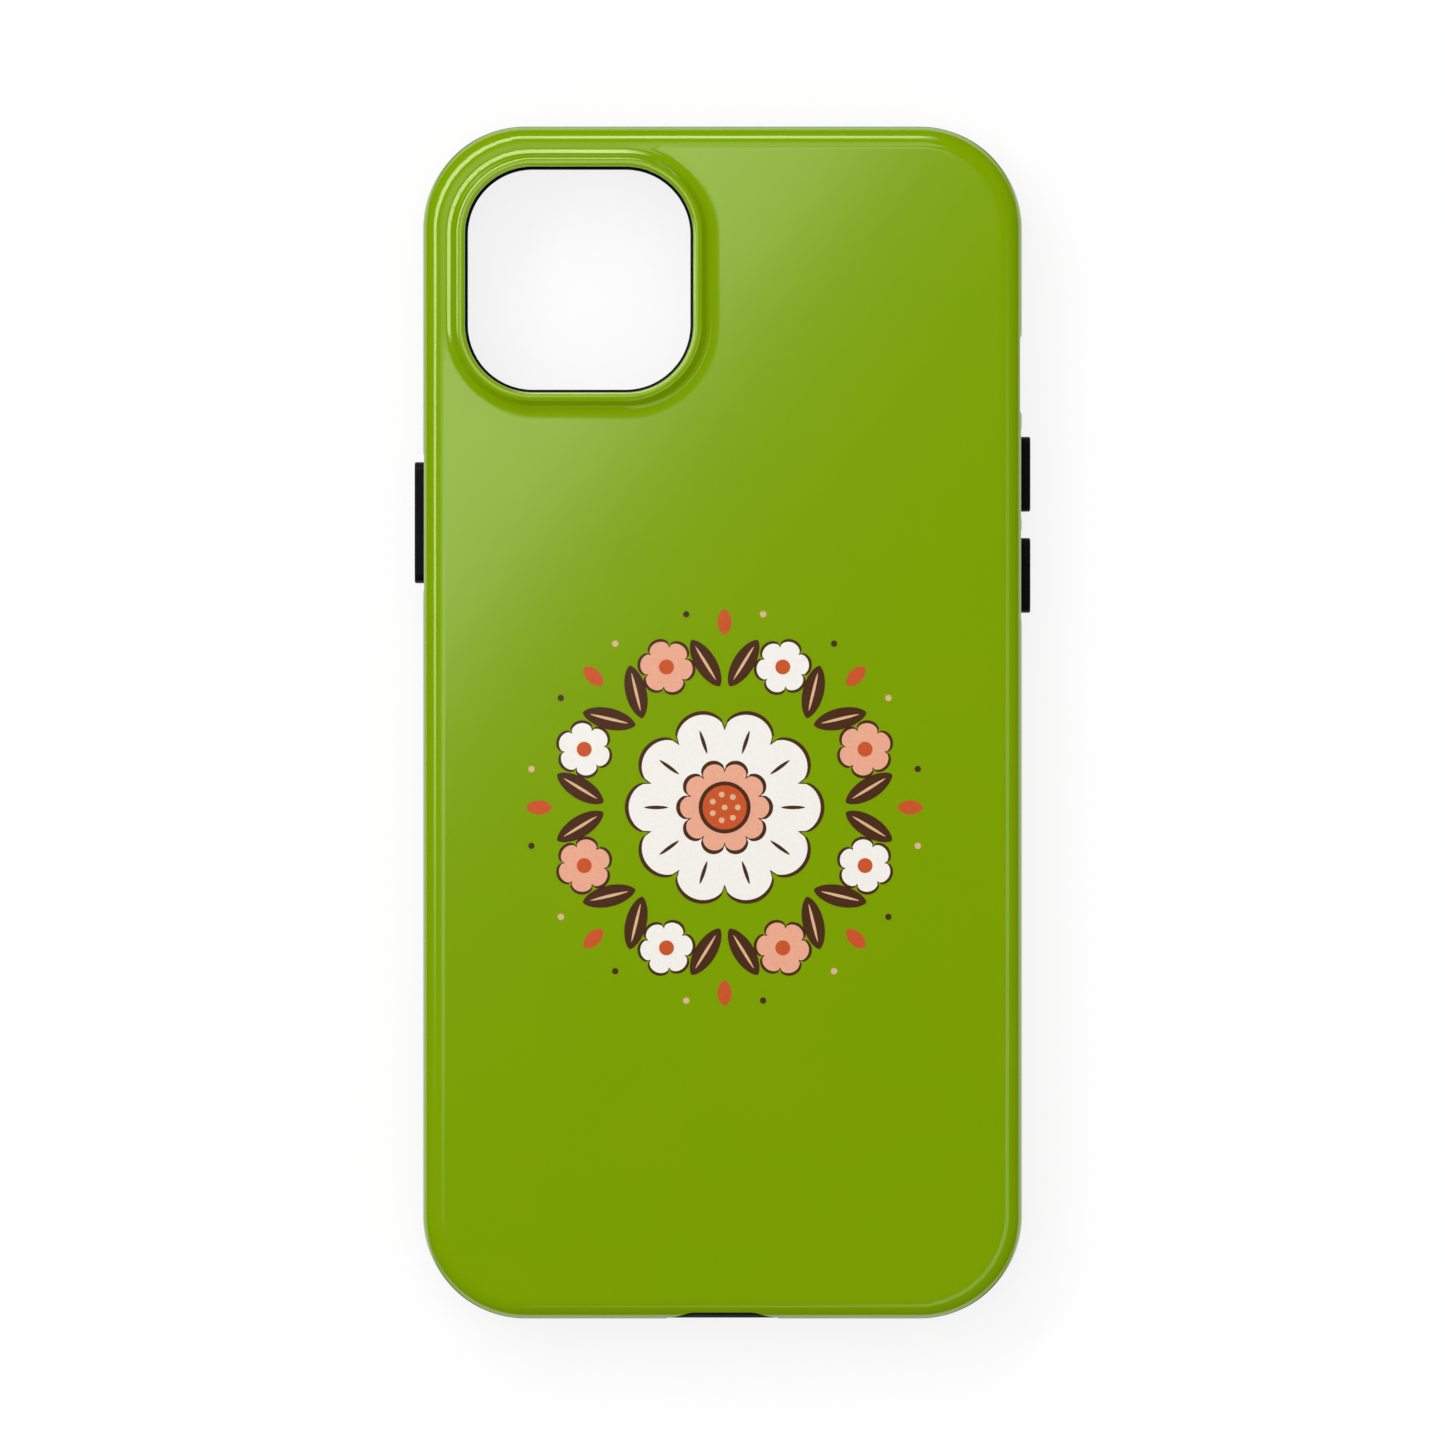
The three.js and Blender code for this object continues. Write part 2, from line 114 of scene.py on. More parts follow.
# The liner.
LAYER_GAP = 0.15 * MM
LINER_WALL = 1.55 * MM
LINER_EDGE_RADIUS = 1.4 * MM
LINER_WINDOW_MARGIN = 0.4 * MM
LINER_WINDOW_ROUND = 0.2 * MM
PHONE_GAP = 0.1 * MM
PHONE_EDGE_RADIUS = 1.5 * MM
LIP_HEIGHT = 1.0 * MM
LIP_OVERHANG = 1.4 * MM
LIP_EDGE = 0.4 * MM
RIM_HEIGHT = 1.7 * MM
RIM_EDGE = 0.9 * MM
RIM_TOP_EDGE = 0.15 * MM
RIM_SETBACK = 0.15 * MM
BEAD_LOW = 0.6 * MM
BEAD_SLOPE = 0.3 * MM
BEAD_WIDTH = 0.5 * MM
BEAD_HEIGHT = 0.3 * MM

# The keys.
VOLUME_LENGTH = 10.5 * MM
SIDE_LENGTH = 17 * MM
KEY_HEIGHT = 3.4 * MM
KEY_CORNER = 1.3 * MM
KEY_EDGE = 0.25 * MM
KEY_WINDOW_GAP = 0.3 * MM
FLANGE_MARGIN = 0.8 * MM
FLANGE_THICKNESS = 0.5 * MM
KEY_REST_GAP = 0.15 * MM
WEB_THICKNESS = 0.6 * MM
WEB_EDGE_GAP = 0.1 * MM
POCKET_GAP = 0.25 * MM
FOOT_MARGIN = 0.7 * MM
FOOT_GAP = 0.3 * MM
FOOT_SHORT = 0.3 * MM

# Shallow reliefs in the shell's sides.
KEY_RELIEF_DEPTH = 0.14 * MM
KEY_RELIEF_MARGIN = 0.6 * MM
KEY_RELIEF_SLOPE = 1.0 * MM
SWITCH_RELIEF_DEPTH = 0.27 * MM
SWITCH_RELIEF_LENGTH = 10 * MM
SWITCH_RELIEF_SLOPE = 0.7 * MM

# The other openings in the walls.
SWITCH_SHELL_LENGTH = 10 * MM
SWITCH_SHELL_HEIGHT = 5.6 * MM
SWITCH_LINER_LENGTH = 8.6 * MM
SWITCH_LINER_HEIGHT = 4.6 * MM
PORT_TOP_WIDTH = 9 * MM
PORT_WIDTH = 15.8 * MM
PORT_TOP_INSET = 0.85 * MM
PORT_SHOULDER_RISE = 0.55 * MM
PORT_CORNER = 0.5 * MM
PORT_GAP = 0.3 * MM
PORT_BOSS_INSET = 0.1 * MM
PORT_HOLE_WIDTH = 12.4 * MM
PORT_HOLE_HEIGHT = 6.2 * MM
SOUND_FROM_MIDDLE = 18.2 * MM
SOUND_LENGTH = 12.6 * MM
SOUND_HEIGHT = 3.2 * MM
SOUND_SHELL_MARGIN = 0.4 * MM

# Upright grooves inside the liner's corners.
GROOVE_COUNT = 5
GROOVE_SPREAD = math.radians(62)
GROOVE_RADIUS = 0.7 * MM
GROOVE_DEPTH = 0.45 * MM
GROOVE_END_GAP = 1.2 * MM

# The print on the back: a flower in a ring of sprigs. Places are distances from its middle.
PRINT_X = 0.3 * MM
PRINT_Y = -11.9 * MM
PRINT_LINE = 0.55 * MM
FINE_LINE = 0.42 * MM
INK_THICKNESS = 0.012 * MM
BIG_RADIUS = 14 * MM
BIG_PETALS = 10
BIG_NOTCH_SHARE = 0.2
VEIN_LENGTH = 3.4 * MM
VEIN_WIDTH = 0.5 * MM
VEIN_OUT = 9.6 * MM
HEART_RADIUS = 6.8 * MM
HEART_NOTCH_SHARE = 0.22
EYE_RADIUS = 3.1 * MM
SEEDS = 7
SEED_RING = 1.85 * MM
SEED_RADIUS = 0.4 * MM
SPRIGS = 8
SPRIG_RING = 21.3 * MM
SMALL_RADIUS = 4.1 * MM
SMALL_PETALS = 6
SMALL_NOTCH_SHARE = 0.26
SMALL_EYE = 1.05 * MM
LEAF_RING = 20.4 * MM
LEAF_LENGTH = 7.6 * MM
LEAF_WIDTH = 3 * MM
LEAF_ASIDE = math.radians(7.5)
LEAF_TILT = math.radians(24)
RIB_SHARE = 0.72
RIB_WIDTH = 0.4 * MM
BUD_RING = 26 * MM
BUD_LENGTH = 3.6 * MM
BUD_WIDTH = 2 * MM
DOTS = 16
DOT_RING = 27.6 * MM
DOT_RADIUS = 0.45 * MM
PETAL_POINTS = 18
LEAF_POINTS = 36
PETAL_FULLNESS_SHARE = 0.5
LEAF_POINT_SHARE = 0.35

# Each ink as the two sRGB colours that it mottles between.
INKS = {
    "brown": ("#4A2B19", "#4E2F1C"),
    "cream": ("#EFECE4", "#F3F1EA"),
    "peach": ("#E7A58A", "#EBAC90"),
    "terracotta": ("#C55228", "#CB592D"),
    "tan": ("#D8AF86", "#DEB890"),
}

# Gloss of the clear hard coat over the shell and its print, and sheen of the soft black rubber.
CLEAR_COAT = {"IOR": 1.5, "Coat Weight": 1, "Coat IOR": 1.58, "Coat Roughness": 0.085}
RUBBER_SHEEN = {"IOR": 1.5, "Specular IOR Level": 0.2}
LIME_GLINT = "#CEFF00"

# Blender's noise lies between these values nearly everywhere.
NOISE_LOW = 0.3
NOISE_HIGH = 0.7
NOISE_ROUGHNESS = 0.5

# The picture: the camera's lens, and the size of the case in the photograph.
IMAGE_PX = 1445
CASE_LENGTH_PX = 1191.65
LENS = 600
SENSOR = 36
CAMERA_REACH = 10

# The studio, in metres: a sheet of paper under softboxes. A softbox has a bearing and a tilt from
# overhead in degrees, a distance, its two ends level with the floor, a width, and a radiance, where
# white paper in plain light has 1. Then come its fades, each with two places along it (X) or across it
# (Y): the light is full up to the first and has gone at the second. Places are counted from where the
# bearing meets it. In the case's gloss the paper has a dark band past each end of the case. It is
# painted shade, seen only in reflections, which paints a dark reflection on the outermost edge of the
# case's ends. The band is given by how far past the end its middle lies and by half its width.
PAPER_HALF_X = 0.105
PAPER_HALF_Y = 0.1485
PAPER_LOW = 0.02 * MM
PAPER_COLOUR = "#787878"
PAPER_GLOW = 0.81
PAINTED_SHADE_BAND_PAST_END = 3 * MM
PAINTED_SHADE_BAND_HALF = 4 * MM
AMBIENT = 0.712
DARKNESS = 0.0024
WHITE = (1, 1, 1, 1)
OVERHEAD_ENDS = (-0.55, 0.55)
SIDE_ENDS = (-0.0692, 0.6)
LEVEL_ENDS = (-0.6, 0.0277)
NEAR_FADES = (("X", 0.055, 0.205), ("X", -0.14, -0.23))
FAR_FADES = (("X", 0.143, 0.249), ("Y", 0.184, -0.184))
SOFTBOXES = (
    ("overhead_near", 140.7, 4.8, 1.1, OVERHEAD_ENDS, 0.09, 1.75, NEAR_FADES),
    ("overhead_far", 147, 16.5, 1.1, OVERHEAD_ENDS, 0.368, 1.25, FAR_FADES),
    ("left_strip", 180, 46, 0.8, SIDE_ENDS, 0.134, 4, (("X", -0.03, 0.055),)),
    ("top_strip", 90, 55, 0.8, LEVEL_ENDS, 0.168, 5.1, (("X", 0.01, -0.16),)),
    ("right_strip", 0, 34, 0.8, SIDE_ENDS, 0.2, 0.84, (("X", -0.0065, 0.0906),)),
    ("bottom_strip", 270, 48, 0.8, LEVEL_ENDS, 0.08, 1.1, (("X", 0.031, -0.062),)),
)
# Short softboxes carry the strips on round two corners of the case, so that the line of light in its
# soft edge turns each corner unbroken: which corner, the first bearing, a radiance, and for each
# softbox a tilt and a width.
CORNER_DISTANCE = 0.76
CORNER_STEP = 10
TOP_LEFT_TURN = (
    (51, 0.17),
    (47, 0.2),
    (44.5, 0.22),
    (43, 0.24),
    (42, 0.24),
    (42, 0.24),
    (42, 0.23),
    (42.5, 0.2),
    (43.5, 0.17),
)
BOTTOM_RIGHT_TURN = (
    (40.5, 0.15),
    (36, 0.19),
    (33, 0.21),
    (31.3, 0.21),
    (30, 0.21),
    (29, 0.21),
    (28.8, 0.21),
    (29.5, 0.21),
    (31, 0.21),
)
CORNER_SOFTBOXES = (
    ("top_left_turn", (-1, 1), 95, 4.5, TOP_LEFT_TURN),
    ("bottom_right_turn", (1, -1), 275, 0.82, BOTTOM_RIGHT_TURN),
)

# How finely round forms are drawn, in steps.
CORNER_STEPS = 40
FAN_STEPS = 14
EDGE_STEPS = 26
COLLAR_STEPS = 2
SMALL_STEPS = 6
RELIEF_STEPS = 6

# How far a cutter runs past what it cuts, how close points are made one, how wide a strip keeps the
# shading of a flat face true beside a rounding, how round the openings' edges are, and from which
# angle an edge is sharp.
OVERRUN = 2 * MM
TINY = 0.0001 * MM
CLOSE = 0.05 * MM
SUPPORT = 0.06 * MM
OPENING_ROUND = 0.2 * MM
SHARP_FROM = math.radians(35)

# Between the collar and the nearest edges the rings crowd together past these distances.
HOLE_KEPT = 2 * MM
HOLE_FREE = 4 * MM
EDGE_KEPT = 2.4 * MM
EDGE_FREE = 4 * MM
CROWD_GAP = 0.4 * MM


class Outline:
    """A rounded rectangle, seen square on."""

    def __init__(self, half_x, half_y, radius, centre=(0, 0)):
        self.half_x = half_x
        self.half_y = half_y
        self.radius = radius
        self.centre = Vector(centre)

    def grown(self, by):
        return Outline(self.half_x + by, self.half_y + by, self.radius + by, self.centre)

    def past_core(self, point):
        """How far a point lies past the rectangle between the corners' middles, and on which side."""
        offset = Vector(point) - self.centre
        past = Vector((abs(offset.x) - self.half_x + self.radius, abs(offset.y) - self.half_y + self.radius))
        side = Vector((math.copysign(1, offset.x), math.copysign(1, offset.y)))
        return past, side

    def distance(self, point):
        past = self.past_core(point)[0]
        outside = math.hypot(max(past.x, 0), max(past.y, 0))
        return outside + min(max(past.x, past.y), 0) - self.radius

    def outward(self, point):
        past, side = self.past_core(point)
        if past.x > 0 and past.y > 0:
            return Vector((past.x * side.x, past.y * side.y)).normalized()
        if past.x > past.y:
            return Vector((side.x, 0))
        return Vector((0, side.y))

    def nearest(self, point):
        return Vector(point) - self.outward(point) * self.distance(point)


case = Outline(shell_high.x, shell_high.y, CASE_CORNER)
window = Outline(
    WINDOW_HALF_X,
    WINDOW_HALF_Y,
    WINDOW_CORNER,
    (
        WINDOW_FROM_SIDE + WINDOW_HALF_X - PHONE_HALF_X,
        PHONE_HALF_Y - WINDOW_FROM_TOP - WINDOW_HALF_Y,
    ),
)

# Depths inwards from the case's outline, and heights, of the layers.
LINER_OUTER = SHELL_WALL + LAYER_GAP
POCKET_SIDE = LINER_OUTER + LINER_WALL
SHELL_UNDER = BACK - SHELL_THICKNESS
LINER_TOP = SHELL_UNDER - LAYER_GAP
SHELL_FOOT = RIM_HEIGHT + LAYER_GAP
SHELL_ROUND = LINER_EDGE_RADIUS + LAYER_GAP
PHONE_MIDDLE = (LIP_HEIGHT + SEAT - PHONE_GAP) / 2
COLLAR = [(distance * MM, math.tan(math.radians(slope))) for distance, slope in COLLAR_SLOPES]


def collar_rise(distance):
    """The collar's height over the back, at a distance outwards from the window's edge."""
    rise = 0
    for (near, near_slope), (far, far_slope) in zip(COLLAR, COLLAR[1:]):
        start = min(max(distance, near), far)
        start_slope = near_slope + (far_slope - near_slope) * (start - near) / (far - near)
        rise += (start_slope + far_slope) / 2 * (far - start)
    return rise


def edge_drop(depth):
    """How far the soft edge has fallen below the back, at a depth inwards from the outline."""
    share = min(max((EDGE_REACH - depth) / EDGE_REACH, 0), 1)
    return EDGE_DROP * (1 - math.sqrt(1 - share**2))


# Where the keys and the ring switch lie: the wall, the place along it and the length.
KEYS = {
    "volume_up": ("right", PHONE_HALF_Y - VOLUME_UP_FROM_TOP, VOLUME_LENGTH),
    "volume_down": ("right", PHONE_HALF_Y - VOLUME_DOWN_FROM_TOP, VOLUME_LENGTH),
    "side": ("left", PHONE_HALF_Y - SIDE_KEY_FROM_TOP, SIDE_LENGTH),
}
SWITCH_ALONG = PHONE_HALF_Y - RING_SWITCH_FROM_TOP
RELIEFS = [
    (wall, along, length / 2 + KEY_RELIEF_MARGIN, KEY_RELIEF_SLOPE, KEY_RELIEF_DEPTH)
    for wall, along, length in KEYS.values()
]
RELIEFS.append(("right", SWITCH_ALONG, SWITCH_RELIEF_LENGTH / 2, SWITCH_RELIEF_SLOPE, SWITCH_RELIEF_DEPTH))


def relief_depth(point):
    """How deep a side relief is at a point of the case's outline."""
    depth = 0
    for wall, along, half_length, slope, full_depth in RELIEFS:
        on_wall = abs(abs(point.x) - case.half_x) < TINY and (point.x > 0) == (wall == "right")
        share = min(max((half_length + slope - abs(point.y - along)) / slope, 0), 1)
        if on_wall:
            depth += full_depth * share * share * (3 - 2 * share)
    return depth


class Station:
    """A place round the case: a point of its outline, and the nearest point of the window's."""

    def __init__(self, point):
        self.edge = case.nearest(point)
        self.out = case.outward(point)
        self.hole = window.nearest(self.edge)
        self.away = window.outward(self.edge)
        self.relief = relief_depth(self.edge)
        room = window.distance(self.edge) - HOLE_KEPT - EDGE_KEPT
        wanted = HOLE_FREE - HOLE_KEPT + EDGE_FREE - EDGE_KEPT + CROWD_GAP
        self.squeeze = min(1, room / wanted)

    def crowded(self, distance, kept):
        return min(distance, kept) + max(distance - kept, 0) * self.squeeze

    def from_edge(self, depth, height):
        point = self.edge - self.out * max(depth, self.relief)
        return Vector((point.x, point.y, height))

    def from_hole(self, distance, height):
        point = self.hole + self.away * distance
        return Vector((point.x, point.y, height))

    def back_from_edge(self, depth):
        """A point of the shell's outside, which is flat but for the collar and the soft edge."""
        depth = self.crowded(depth, EDGE_KEPT)
        rise = collar_rise(window.distance(self.edge - self.out * depth))
        return self.from_edge(depth, BACK - edge_drop(depth) + rise)

    def back_from_hole(self, distance):
        distance = self.crowded(distance, HOLE_KEPT)
        drop = edge_drop(-case.distance(self.hole + self.away * distance))
        return self.from_hole(distance, BACK + collar_rise(distance) - drop)


def quarter(steps):
    """Angles of a quarter turn, both ends included."""
    return [math.pi / 2 * step / steps for step in range(steps + 1)]


def rounded_face(bm, outline, steps):
    """A flat face of that outline: a square with its corners rounded."""
    bmesh.ops.create_grid(bm, x_segments=1, y_segments=1, size=1)
    bmesh.ops.scale(bm, vec=(outline.half_x, outline.half_y, 1), verts=bm.verts)
    bmesh.ops.translate(bm, vec=outline.centre.to_3d(), verts=bm.verts)
    bmesh.ops.bevel(
        bm,
        geom=bm.verts[:],
        offset=outline.radius,
        segments=steps,
        profile=0.5,
        affect="VERTICES",
        material=-1,
    )


def station_ring(bm):
    """A ring of edges round the case, finer where the window's corners and the reliefs need it."""
    rounded_face(bm, case, CORNER_STEPS)
    bmesh.ops.delete(bm, geom=bm.faces[:], context="FACES_ONLY")
    cuts = []
    core_x = window.half_x - window.radius
    core_y = window.half_y - window.radius
    for side_x, side_y in ((1, 1), (1, -1), (-1, 1), (-1, -1)):
        corner = window.centre + Vector((side_x * core_x, side_y * core_y))
        for turn in quarter(FAN_STEPS):
            across = Vector((-side_y * math.sin(turn), side_x * math.cos(turn)))
            cuts.append((corner.to_3d(), across.to_3d()))
    for _, along, half_length, slope, _ in RELIEFS:
        for step in range(RELIEF_STEPS + 1):
            reach = half_length + slope * step / RELIEF_STEPS
            cuts += [(Vector((0, along + side * reach, 0)), Vector((0, 1, 0))) for side in (-1, 1)]
    for place, facing in cuts:
        bmesh.ops.bisect_plane(
            bm, geom=bm.verts[:] + bm.edges[:], dist=TINY, plane_co=place, plane_no=facing
        )
    bmesh.ops.remove_doubles(bm, verts=bm.verts[:], dist=CLOSE)
    tag = bm.verts.layers.int.new("station")
    stations = []
    for vert in bm.verts:
        vert[tag] = len(stations)
        stations.append(Station(vert.co.to_2d()))
    return bm.edges[:], stations, tag


def draw_out(bm, ring, place):
    """Draws a ring of edges out, each new vertex to the place that a function gives for it."""
    made = bmesh.ops.extrude_edge_only(bm, edges=ring)["geom"]
    for item in made:
        if isinstance(item, bmesh.types.BMVert):
            item.co = place(item)
    return [item for item in made if isinstance(item, bmesh.types.BMEdge)]


def finished(name, bm):
    """An object of the mesh that bm holds, with its faces outwards."""
    bmesh.ops.recalc_face_normals(bm, faces=bm.faces[:])
    if bm.calc_volume(signed=True) < 0:
        bmesh.ops.reverse_faces(bm, faces=bm.faces[:])
    mesh = bpy.data.meshes.new(name)
    bm.to_mesh(mesh)
    bm.free()
    piece = bpy.data.objects.new(name, mesh)
    bpy.context.scene.collection.objects.link(piece)
    return piece


def swept(name, levels):
    """A hollow form drawn round the case, through each level and back to the first."""
    bm = bmesh.new()
    ring, stations, tag = station_ring(bm)
    for vert in bm.verts:
        vert.co = levels[0](stations[vert[tag]])
    for level in levels[1:] + levels[:1]:
        ring = draw_out(bm, ring, lambda vert: level(stations[vert[tag]]))
    bmesh.ops.remove_doubles(bm, verts=bm.verts[:], dist=TINY)
    return finished(name, bm)


def edge_at(depth, height):
    return lambda station: station.from_edge(depth, height)


def hole_at(distance, height):
    return lambda station: station.from_hole(distance, height)


def back_edge_at(depth):
    return lambda station: station.back_from_edge(depth)


def back_hole_at(distance):
    return lambda station: station.back_from_hole(distance)


def edge_arc(depth, height, radius, turns, side=1):
    """A quarter round between an upright face at a depth and a level face, above or below it."""
    return [
        edge_at(depth + radius * (1 - math.cos(turn)), height - side * radius * (1 - math.sin(turn)))
        for turn in turns
    ]


def bead(gap):
    """The snap bead on the liner's side, from its foot up, grown by a gap for the shell's groove."""
    low = RIM_HEIGHT + BEAD_LOW
    side = LINER_OUTER - gap
    return [
        edge_at(side, low - gap),
        edge_at(side - BEAD_HEIGHT, low + BEAD_SLOPE - gap),
        edge_at(side - BEAD_HEIGHT, low + BEAD_SLOPE + BEAD_WIDTH + gap),
        edge_at(side, low + 2 * BEAD_SLOPE + BEAD_WIDTH + gap),
    ]


def shell_levels():
    """Up the window's edge, over the collar and the soft edge, down the side and back inside."""
    marks = [distance for distance, _ in COLLAR]
    collar = marks[:1]
    for near, far in zip(marks, marks[1:]):
        collar += [near + (far - near) * step / COLLAR_STEPS for step in range(1, COLLAR_STEPS + 1)]
    soft_edge = [EDGE_REACH * (1 - math.cos(turn)) for turn in reversed(quarter(EDGE_STEPS))]

    levels = [
        hole_at(0, SHELL_UNDER),
        hole_at(0, BACK + collar_rise(0) - SUPPORT),
    ]
    levels += [back_hole_at(distance) for distance in collar + [HOLE_FREE]]
    levels += [back_edge_at(EDGE_FREE), back_edge_at(EDGE_REACH + SUPPORT)]
    levels += [back_edge_at(depth) for depth in soft_edge]
    levels += [edge_at(0, BACK - EDGE_DROP - SUPPORT), edge_at(0, SHELL_FOOT + LOWER_EDGE_RADIUS + SUPPORT)]
    levels += edge_arc(0, SHELL_FOOT, LOWER_EDGE_RADIUS, quarter(SMALL_STEPS), side=-1)
    levels += [edge_at(SHELL_WALL, SHELL_FOOT)] + bead(LAYER_GAP)
    levels += edge_arc(SHELL_WALL, SHELL_UNDER, SHELL_ROUND, quarter(SMALL_STEPS))
    return levels


def liner_levels():
    """Up the window's edge, over the back and the bead to the rim, round the lip and back inside."""
    up = quarter(SMALL_STEPS)
    down = up[::-1]
    lip = POCKET_SIDE + LIP_OVERHANG
    levels = [
        hole_at(-LINER_WINDOW_MARGIN, SEAT),
        hole_at(-LINER_WINDOW_MARGIN, LINER_TOP - LINER_WINDOW_ROUND - SUPPORT),
    ]
    for turn in up:
        distance = LINER_WINDOW_ROUND * (1 - math.cos(turn)) - LINER_WINDOW_MARGIN
        levels.append(hole_at(distance, LINER_TOP - LINER_WINDOW_ROUND * (1 - math.sin(turn))))
    levels.append(hole_at(LINER_WINDOW_ROUND, LINER_TOP))
    levels += edge_arc(LINER_OUTER, LINER_TOP, LINER_EDGE_RADIUS, down)
    levels += bead(0)[::-1] + [edge_at(LINER_OUTER, RIM_HEIGHT)]
    levels += edge_arc(RIM_SETBACK, RIM_HEIGHT, RIM_TOP_EDGE, down)
    levels += edge_arc(RIM_SETBACK, 0, RIM_EDGE, up, side=-1)
    levels += [
        edge_at(lip - LIP_EDGE * (1 - math.cos(turn)), LIP_EDGE * (1 - math.sin(turn))) for turn in down
    ]
    levels += [edge_at(lip, LIP_HEIGHT), edge_at(POCKET_SIDE, LIP_HEIGHT)]
    levels += edge_arc(POCKET_SIDE, SEAT, PHONE_EDGE_RADIUS + PHONE_GAP, up)
    return levels


# How a shape drawn square on stands in a wall: its width along the wall, its height up.
WALLS = {
    "right": Matrix(((0, 0, 1, 0), (1, 0, 0, 0), (0, 1, 0, 0), (0, 0, 0, 1))),
    "left": Matrix(((0, 0, -1, 0), (-1, 0, 0, 0), (0, 1, 0, 0), (0, 0, 0, 1))),
    "bottom": Matrix(((1, 0, 0, 0), (0, 0, -1, 0), (0, 1, 0, 0), (0, 0, 0, 1))),
}
WALL_REACH = {"right": case.half_x, "left": case.half_x, "bottom": case.half_y}


def in_wall(wall, along):
    """Places what is drawn about the origin at a place along a wall, at the height of the openings."""
    shift = (along, 0, PHONE_MIDDLE) if wall == "bottom" else (0, along, PHONE_MIDDLE)
    return Matrix.Translation(shift) @ WALLS[wall]


def drawn_up(name, outline, levels, placing, hollow=False):
    """A form drawn up from an outline: each level gives how far it has grown, and how high it is."""
    bm = bmesh.new()
    rounded_face(bm, outline.grown(levels[0][0]), 2 * SMALL_STEPS)
    bmesh.ops.translate(bm, vec=(0, 0, levels[0][1]), verts=bm.verts)
    if hollow:
        bmesh.ops.delete(bm, geom=bm.faces[:], context="FACES_ONLY")
    ring = bm.edges[:]
    for margin, height in levels[1:]:

        def place(vert):
            point = outline.nearest(vert.co.to_2d()) + outline.outward(vert.co.to_2d()) * margin
            return Vector((point.x, point.y, height))

        ring = draw_out(bm, ring, place)
    if hollow:
        bmesh.ops.remove_doubles(bm, verts=bm.verts[:], dist=TINY)
    else:
        bmesh.ops.contextual_create(bm, geom=ring)
    bm.transform(placing)
    return finished(name, bm)


def combine(piece, operation, others):
    """Joins, cuts or crosses a piece with other blocks, which are used up."""
    for other in others:
        step = piece.modifiers.new("combine", "BOOLEAN")
        step.operation = operation
        step.solver = "MANIFOLD"
        step.object = other
    graph = bpy.context.evaluated_depsgraph_get()
    made = bpy.data.meshes.new_from_object(piece.evaluated_get(graph))
    piece.modifiers.clear()
    piece.data = made
    for other in others:
        bpy.data.objects.remove(other)


def slot_outline(length, height):
    """A slot with round ends."""
    return Outline(length / 2, height / 2, height / 2 - TINY)


def opening(wall, along, outline, surface, thickness):
    """A block that cuts an opening through a wall, with its outer edge softened at the surface."""
    reach = WALL_REACH[wall]
    levels = [(0, reach - surface - thickness - OVERRUN)]
    for turn in reversed(quarter(SMALL_STEPS)):
        grown = OPENING_ROUND * (1 - math.sin(turn))
        levels.append((grown, reach - surface - OPENING_ROUND * (1 - math.cos(turn))))
    levels.append((OPENING_ROUND, reach + OVERRUN))
    return drawn_up("cutter", outline, levels, in_wall(wall, along))


def key_outline(length):
    return Outline(length / 2, KEY_HEIGHT / 2, KEY_CORNER)


def port_block(gap, start, end):
    """The port's outline: upright sides, and shoulders that slope in under the soft edge."""
    half = [
        (PORT_WIDTH / 2 - gap, -OVERRUN),
        (PORT_WIDTH / 2 - gap, BACK - EDGE_DROP + PORT_SHOULDER_RISE - gap),
        (PORT_TOP_WIDTH / 2 - gap, BACK - edge_drop(PORT_TOP_INSET) - gap),
    ]
    bm = bmesh.new()
    verts = [bm.verts.new((x, z, start)) for x, z in half]
    verts += [bm.verts.new((-x, z, start)) for x, z in reversed(half)]
    bm.faces.new(verts)
    bmesh.ops.bevel(
        bm,
        geom=[vert for vert in verts if vert.co.y > 0],
        offset=PORT_CORNER,
        segments=SMALL_STEPS,
        profile=0.5,
        affect="VERTICES",
        material=-1,
    )
    ring = draw_out(bm, bm.edges[:], lambda vert: Vector((vert.co.x, vert.co.y, end)))
    bmesh.ops.contextual_create(bm, geom=ring)
    bm.transform(WALLS["bottom"])
    return finished("port", bm)


def port_boss():
    """The liner's boss round the charging port, whose face follows the shell's, a little way in."""
    start = case.half_y - SHELL_WALL - SHELL_ROUND + PORT_GAP
    boss = port_block(PORT_GAP, start, case.half_y + OVERRUN)
    levels = [(0, RIM_EDGE)]
    for turn in quarter(EDGE_STEPS):
        depth = EDGE_REACH * (1 - math.cos(turn))
        levels.append((-depth, BACK - edge_drop(depth)))
    flush = drawn_up("flush", case.grown(-PORT_BOSS_INSET), levels, Matrix())
    combine(boss, "INTERSECT", [flush])
    return boss


def cushion_grooves():
    """Upright rods that cut the grooves inside the liner's corners."""
    low = LIP_HEIGHT + GROOVE_END_GAP
    high = SEAT - PHONE_GAP - PHONE_EDGE_RADIUS - GROOVE_END_GAP
    pocket = case.grown(-POCKET_SIDE)
    reach = pocket.radius - GROOVE_RADIUS + GROOVE_DEPTH
    bm = bmesh.new()
    for side_x, side_y in ((1, 1), (1, -1), (-1, 1), (-1, -1)):
        for number in range(GROOVE_COUNT):
            turn = math.pi / 4 + GROOVE_SPREAD * (number / (GROOVE_COUNT - 1) - 0.5)
            rod = bmesh.ops.create_cone(
                bm,
                cap_ends=True,
                segments=4 * SMALL_STEPS,
                radius1=GROOVE_RADIUS,
                radius2=GROOVE_RADIUS,
                depth=high - low,
            )["verts"]
            x = side_x * (pocket.half_x - pocket.radius + reach * math.cos(turn))
            y = side_y * (pocket.half_y - pocket.radius + reach * math.sin(turn))
            bmesh.ops.translate(bm, vec=(x, y, (low + high) / 2), verts=rod)
    return finished("grooves", bm)


